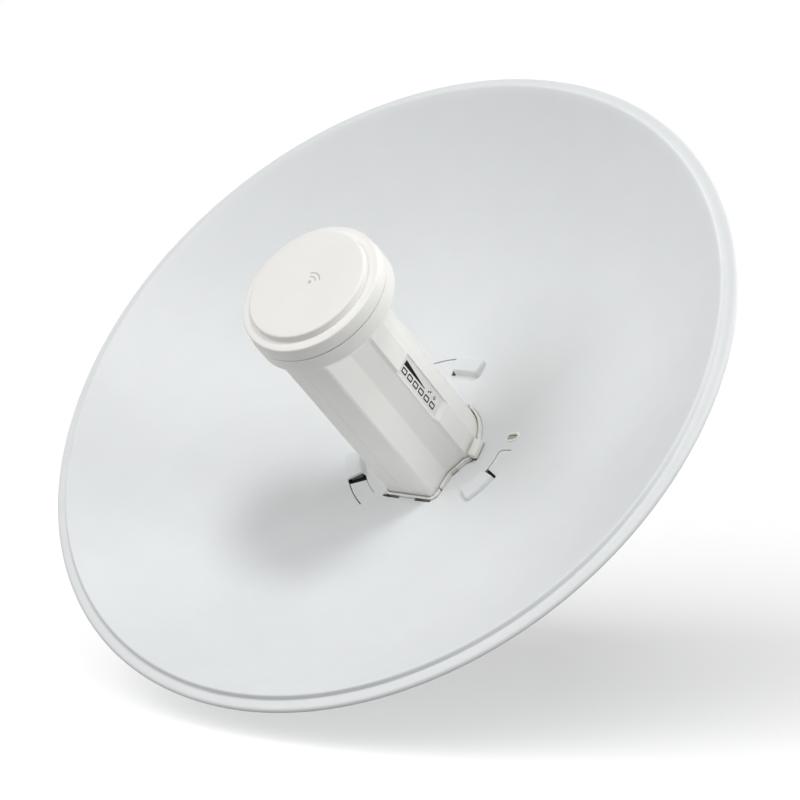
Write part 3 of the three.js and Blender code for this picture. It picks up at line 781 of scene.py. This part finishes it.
def collar():
    """The snap-in collar. Its profile is (distance out from the feed, z)."""
    profile = (
        (0.5, -7),
        (0.5, COLLAR_TOP - 1.6),
        (0.85, COLLAR_TOP - 0.3),
        (1.05, COLLAR_TOP),
        (1.7, COLLAR_TOP),
        (2.05, COLLAR_TOP - 0.2),
        (2.2, COLLAR_TOP - 0.6),
        (2.2, -2.6),
        (6.8, -2.6),
        (6.8, -7),
    )
    outline = resampled(rounded(feed_outline(), 1.4), 2.5)
    rings = [[(x, y, z) for x, y in grown(outline, d)] for d, z in profile]
    made = ring_skin("feed_collar", rings, looped=True)
    latch_room = block("room", (24, LATCH_Y[0] - GAP, -8), (45, LATCH_Y[1] + GAP, 12))
    carve(made, latch_room, *collar_foot_gaps(), *collar_notches())
    finished(made, DISH, "dish_head", collar_plastic, ("feed_collar",))


def collar_latch():
    """The release tab: its head, and the stem that runs down through the bowl."""
    x0, x1 = LATCH_X
    side = [(x0, 2.6), (x1, 2.6), (x1, 5.4), (x1 - 0.9, 6.4), (x0 + 1.2, 7.2), (x0, 7.2)]
    rings = [[(x, y, z) for x, z in side] for y in LATCH_Y]
    head = bevelled(ring_skin("collar_latch", rings, capped=True), 0.55, 3)
    stem = block("latch_stem", (x0, LATCH_Y[0] + 0.6, -8), (x0 + 1.9, LATCH_Y[1] - 0.6, 3))
    for piece, replaces in ((head, ("collar_latch",)), (stem, ())):
        finished(piece, DISH, "collar_latch", collar_plastic, replaces)


# ------------------------------------------------------------------ cap
MARK = {"centre": (2.0, 1.0), "dot": 1.1, "arcs": (3.4, 6.0), "width": 0.8}
MARK_DEPTH = 0.7


def cap():
    """The round front: a raised disc over a flange, with the mark sunk in the disc."""
    front = FEED_FRONT
    flange = FEED_FRONT - 4.2
    disc = 35.05
    profile = (
        (0, front),
        (20, front),
        (33.2, front),
        (33.9, front - 0.08),
        (34.5, front - 0.3),
        (34.9, front - 0.7),
        (disc, front - 1.2),
        (disc, flange + 0.1),
        (disc + 0.15, flange - 0.15),
        (disc + 0.45, flange - 0.2),
        (disc + 0.7, flange),
        (39.9, flange),
        (40.5, flange - 0.12),
        (40.9, flange - 0.45),
        (41.1, flange - 1),
        (41.95, CAP_SEAM + 0.7),
        (41.9, CAP_SEAM + 0.2),
        (41.6, CAP_SEAM),
        (38.6, CAP_SEAM),
        (38.4, flange - 2.2),
        (32.5, flange - 2.0),
        (32.3, front - 2),
        (0, front - 2),
    )
    sunk = [prism("mark", outline, front - MARK_DEPTH, front + 1) for outline in mark_outlines()]
    made = carve(lathe("feed_cap", profile, 180), *sunk)
    finished(made, DISH, "dish_head", white_plastic, ("feed_cap",), sharp=38)


def mark_outlines():
    """A plain generic mark: a dot and two arcs."""
    centre = Vector(MARK["centre"])
    outlines = [[tuple(centre + Vector(polar(MARK["dot"], a))) for a in range(0, 360, 24)]]
    for radius in MARK["arcs"]:
        path = [tuple(centre + Vector(p)) for p in arc(radius, 20, 110, 12)]
        outlines.append(ribbon(path, MARK["width"]))
    return outlines


def cap_mark():
    """The mark's grey filling, sunk a little below the cap's face."""
    low = FEED_FRONT - MARK_DEPTH + 0.1
    high = FEED_FRONT - 0.2
    for number, outline in enumerate(mark_outlines(), 1):
        made = prism(f"cap_mark_{number}", grown(outline, -0.03), low, high)
        finished(made, DISH, "dish_head", mark_grey)


# ------------------------------------------------------------------ carried-over CAD nodes
PAIRED = ("lock_bolt", "lock_nut", "clamp_bolt", "clamp_washer", "clamp_nut")
CARRIED = {
    zinc: ("tilt_bracket", "mast_bracket", "clamp_jaw"),
    bolt_steel: (
        "hinge_bolt",
        "hinge_nut",
        *(f"hub_screw_{n}" for n in (1, 2, 3, 4)),
        *(f"{kind}_{side}" for side in ("right", "left") for kind in PAIRED),
    ),
    # The mount hub's dark grey is partly painted shade, so that what shows through the windows looks
    # shadowed.
    grey_plastic: ("mount_hub", "network_jack"),
    olive_plastic: ("lock_button", "reset_button"),
    white_plastic: ("port_cover",),
    seal_and_shade: ("cap_gasket",),
    bare_aluminium: ("subreflector", "heat_spreader"),
    board: ("radiator_stack", "main_board", "led_board"),
    tinned: ("radio_shield", "processor_shield"),
}


SHARP_EDGE = math.radians(35)
EDGE_BEVEL = 0.35


def geometry_group(name):
    """A modifier's node group with nothing in it but its two ends."""
    group = bpy.data.node_groups.new(name, "GeometryNodeTree")
    for direction in ("INPUT", "OUTPUT"):
        group.interface.new_socket("Geometry", in_out=direction, socket_type="NodeSocketGeometry")
    return group, node(group, "NodeGroupInput"), node(group, "NodeGroupOutput")


def smoothing():
    """A node group that shades a mesh smooth, apart from its sharp edges."""
    group, start, end = geometry_group("smooth_by_angle")
    faces = node(group, "GeometryNodeSetShadeSmooth")
    edges = node(group, "GeometryNodeSetShadeSmooth", domain="EDGE")
    angle = node(group, "GeometryNodeInputMeshEdgeAngle")
    gentle = node(group, "FunctionNodeCompare", operation="LESS_THAN", B=SHARP_EDGE)
    group.links.new(start.outputs[0], faces.inputs["Geometry"])
    group.links.new(faces.outputs["Geometry"], edges.inputs["Geometry"])
    group.links.new(angle.outputs["Unsigned Angle"], gentle.inputs["A"])
    group.links.new(gentle.outputs["Result"], edges.inputs["Shade Smooth"])
    group.links.new(edges.outputs["Geometry"], end.inputs[0])
    return group


def carried_nodes():
    """The CAD nodes that stay as they are: their materials, small bevels and smooth shading."""
    smooth_by_angle = smoothing()
    for material, names in CARRIED.items():
        for name in names:
            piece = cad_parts[name]
            piece.data.materials.clear()
            piece.data.materials.append(material)
            weld = piece.modifiers.new("weld", "WELD")
            weld.merge_threshold = 0.01 * MM
            edge = piece.modifiers.new("edges", "BEVEL")
            edge.width = EDGE_BEVEL * MM
            edge.segments = 2
            edge.limit_method = "ANGLE"
            edge.angle_limit = SHARP_EDGE
            smooth = piece.modifiers.new("smooth", "NODES")
            smooth.node_group = smooth_by_angle
            weights = piece.modifiers.new("weights", "WEIGHTED_NORMAL")
            weights.keep_sharp = True


# ------------------------------------------------------------------ bolt threads
M8 = {"shank": 4, "pitch": 1.25}
M6 = {"shank": 3, "pitch": 1}
THREAD = {"height": 0.27, "taper": 0.8, "sides": 24}
CLAMP_BOLTS_X = 38
CLAMP_THREAD = (4, 63.6)
HINGE_AXIS = (0, -HINGE_FORWARD, 0)
LOCK_AXIS = (0, -61.9, 15.9)
SIDE_THREAD = (30, 38.5)
ALONG_Y = Matrix.Rotation(-math.pi / 2, 4, "X")
ALONG_X = Matrix.Rotation(math.pi / 2, 4, "Y")
AGAINST_X = Matrix.Rotation(-math.pi / 2, 4, "Y")


def thread(name, bolt, span, turn, place):
    """A helical thread laid round a bolt's shank, over a span of its axis. It fades at the far end."""
    shank, pitch = bolt["shank"], bolt["pitch"]
    start, end = span
    angles = [360 * k / THREAD["sides"] for k in range(THREAD["sides"])]
    rings = []
    for z in evenly(start, end, math.ceil((end - start) / (pitch / 6))):
        taper = max(0.0, min(1.0, (end - z) / THREAD["taper"]))
        ring = []
        for angle in angles:
            phase = (z / pitch - angle / 360) % 1
            height = THREAD["height"] * (1 - abs(2 * phase - 1)) * taper
            ring.append((*polar(shank + 0.02 + height, angle), z))
        rings.append(ring)
    inner = [[(*polar(shank - 0.2, angle), z) for angle in angles] for z in (end, start)]
    made = ring_skin(name, rings + inner, looped=True)
    made.data.transform(Matrix.Translation(place) @ turn)
    finished(made, MAST, "mast_mount", bolt_steel, sharp=60)


def threads():
    for word, side, outwards in (("right", 1, ALONG_X), ("left", -1, AGAINST_X)):
        thread(f"clamp_thread_{word}", M8, CLAMP_THREAD, ALONG_Y, (CLAMP_BOLTS_X * side, 0, 0))
        thread(f"lock_thread_{word}", M6, SIDE_THREAD, outwards, LOCK_AXIS)
    thread("hinge_thread", M8, SIDE_THREAD, AGAINST_X, HINGE_AXIS)


# ------------------------------------------------------------------ stage
FLOOR_Z = -92
FLOOR_CLEARANCE = 15.4
FLOOR_HALF = 60000
FLOOR_BOUNCE = 0.28
FLOOR_WHITE = 0.97
RIM_CENTRE = (0, 0, 68)

# From the rim's centre to the camera, the way it looks, and the way up in its picture.
CAMERA_OFFSET = (973.4, -1261.7, 201.6)
CAMERA_AHEAD = (-0.6005, 0.7884, -0.1334)
CAMERA_UP = (-0.0881, 0.1006, 0.991)
CAMERA_LENS = 131.3
CAMERA_AZIMUTH = -52.7

# Soft lamps for the dish: degrees to the camera's right, degrees up, strength, angular size.
LAMPS = {
    "key": (10, 62, 0.27, 15),
    "front": (0, 50, 0.14, 40),
    "right_front": (60, 20, 0.33, 35),
    "right_back": (120, 20, 0.46, 35),
    "right_high": (120, 50, 0.17, 40),
    "left_front": (300, 27, 0.28, 35),
    "left_high": (300, 50, 0.14, 40),
    "left_back": (240, 20, 0.12, 35),
}
# The lamps above leave the floor out. These light only the floor, and its fill casts no shadow.
FLOOR_LAMPS = {
    "floor_fill": (0, 85, 0.5, 10),
    "floor_high": (330, 55, 0.38, 70),
    "floor_wash": (300, 28, 0.42, 75),
}


def floor_height(lowest_piece):
    """A node group that sets the floor's height, and keeps it under a piece that tilts down."""
    group, start, end = geometry_group("floor_height")
    info = node(group, "GeometryNodeObjectInfo", transform_space="RELATIVE", Object=lowest_piece)
    box = node(group, "GeometryNodeBoundBox")
    lowest = node(group, "ShaderNodeSeparateXYZ")
    below = node(group, "ShaderNodeMath", operation="SUBTRACT")
    below.inputs[1].default_value = FLOOR_CLEARANCE * MM
    level = node(group, "ShaderNodeMath", operation="MINIMUM")
    level.inputs[1].default_value = FLOOR_Z * MM
    offset = node(group, "ShaderNodeCombineXYZ")
    lower = node(group, "GeometryNodeTransform")
    group.links.new(info.outputs["Geometry"], box.inputs["Geometry"])
    group.links.new(box.outputs["Min"], lowest.inputs["Vector"])
    group.links.new(lowest.outputs["Z"], below.inputs[0])
    group.links.new(below.outputs["Value"], level.inputs[0])
    group.links.new(level.outputs["Value"], offset.inputs["Z"])
    group.links.new(start.outputs[0], lower.inputs["Geometry"])
    group.links.new(offset.outputs["Vector"], lower.inputs["Translation"])
    group.links.new(lower.outputs["Geometry"], end.inputs[0])
    return group


def stage(lowest_piece):
    """A white floor that throws back little light, so that the undersides stay darker."""
    half = FLOOR_HALF * MM
    corners = [(-half, -half, 0), (half, -half, 0), (half, half, 0), (-half, half, 0)]
    floor = mesh_object("floor", corners, [(0, 1, 2, 3)])
    height = floor.modifiers.new("height", "NODES")
    height.node_group = floor_height(lowest_piece)
    paper = bpy.data.materials.new("floor_paper")
    paper.use_nodes = True
    tree = paper.node_tree
    shader = tree.nodes["Principled BSDF"]
    shader.inputs["Roughness"].default_value = 0.9
    shader.inputs["Specular IOR Level"].default_value = 0.0
    ray = node(tree, "ShaderNodeLightPath")
    tone = node(tree, "ShaderNodeValToRGB")
    for stop, grey in zip(tone.color_ramp.elements, (FLOOR_BOUNCE, FLOOR_WHITE)):
        stop.color = (grey, grey, grey, 1)
    tree.links.new(ray.outputs["Is Camera Ray"], tone.inputs["Fac"])
    tree.links.new(tone.outputs["Color"], shader.inputs["Base Color"])
    floor.data.materials.append(paper)
    return floor


def lamp(name, azimuth, elevation, strength, spread):
    """A far lamp, placed by the bearing that its light comes from."""
    light = bpy.data.lights.new(name, "SUN")
    light.energy = strength * math.pi
    light.angle = math.radians(spread)
    made = bpy.data.objects.new(name, light)
    turn = math.radians(CAMERA_AZIMUTH + azimuth)
    rise = math.radians(elevation)
    towards = Vector((math.cos(rise) * math.cos(turn), math.cos(rise) * math.sin(turn), math.sin(rise)))
    made.rotation_euler = towards.to_track_quat("Z", "Y").to_euler()
    bpy.context.scene.collection.objects.link(made)
    return made


def linked_floor(name, floor, state):
    """A set of receivers that holds the floor, for a lamp to light or to leave out."""
    receivers = bpy.data.collections.new(name)
    receivers.objects.link(floor)
    receivers.collection_objects[0].light_linking.link_state = state
    return receivers


def surroundings():
    """White where the camera sees them, and faint as a source of light."""
    world = bpy.data.worlds.new("studio")
    world.use_nodes = True
    tree = world.node_tree
    sky = tree.nodes["Background"]
    sky.inputs["Color"].default_value = (1, 1, 1, 1)
    ray = node(tree, "ShaderNodeLightPath")
    level = node(tree, "ShaderNodeMapRange")
    level.inputs["To Min"].default_value = 0.05
    level.inputs["To Max"].default_value = 1.0
    tree.links.new(ray.outputs["Is Camera Ray"], level.inputs["Value"])
    tree.links.new(level.outputs["Result"], sky.inputs["Strength"])
    bpy.context.scene.world = world
    bpy.context.scene.view_settings.view_transform = "Standard"


def lights(floor):
    """The dish's soft lamps and the floor's own."""
    for lamps, receivers in (
        (LAMPS, linked_floor("without_floor", floor, "EXCLUDE")),
        (FLOOR_LAMPS, linked_floor("floor_only", floor, "INCLUDE")),
    ):
        for name, settings in lamps.items():
            made = lamp(name, *settings)
            made.light_linking.receiver_collection = receivers
            made.data.use_shadow = name != "floor_fill"


def camera():
    position = DISH @ Vector(RIM_CENTRE) + Vector(CAMERA_OFFSET) * MM
    ahead = Vector(CAMERA_AHEAD)
    right = ahead.cross(Vector(CAMERA_UP)).normalized()
    up = right.cross(ahead).normalized()
    lens = bpy.data.cameras.new("camera")
    lens.lens = CAMERA_LENS
    lens.sensor_width = 36
    lens.clip_end = 200
    made = bpy.data.objects.new("camera", lens)
    turn = Matrix((right, up, -ahead.normalized())).transposed()
    made.matrix_world = Matrix.Translation(position) @ turn.to_4x4()
    bpy.context.scene.collection.objects.link(made)
    bpy.context.scene.camera = made


camera()
surroundings()
lights(stage(reflector()))
window_shade_pads()
lock_hole_lip()
feed_shells()
indicator_panel()
collar()
collar_latch()
cap()
cap_mark()
carried_nodes()
threads()
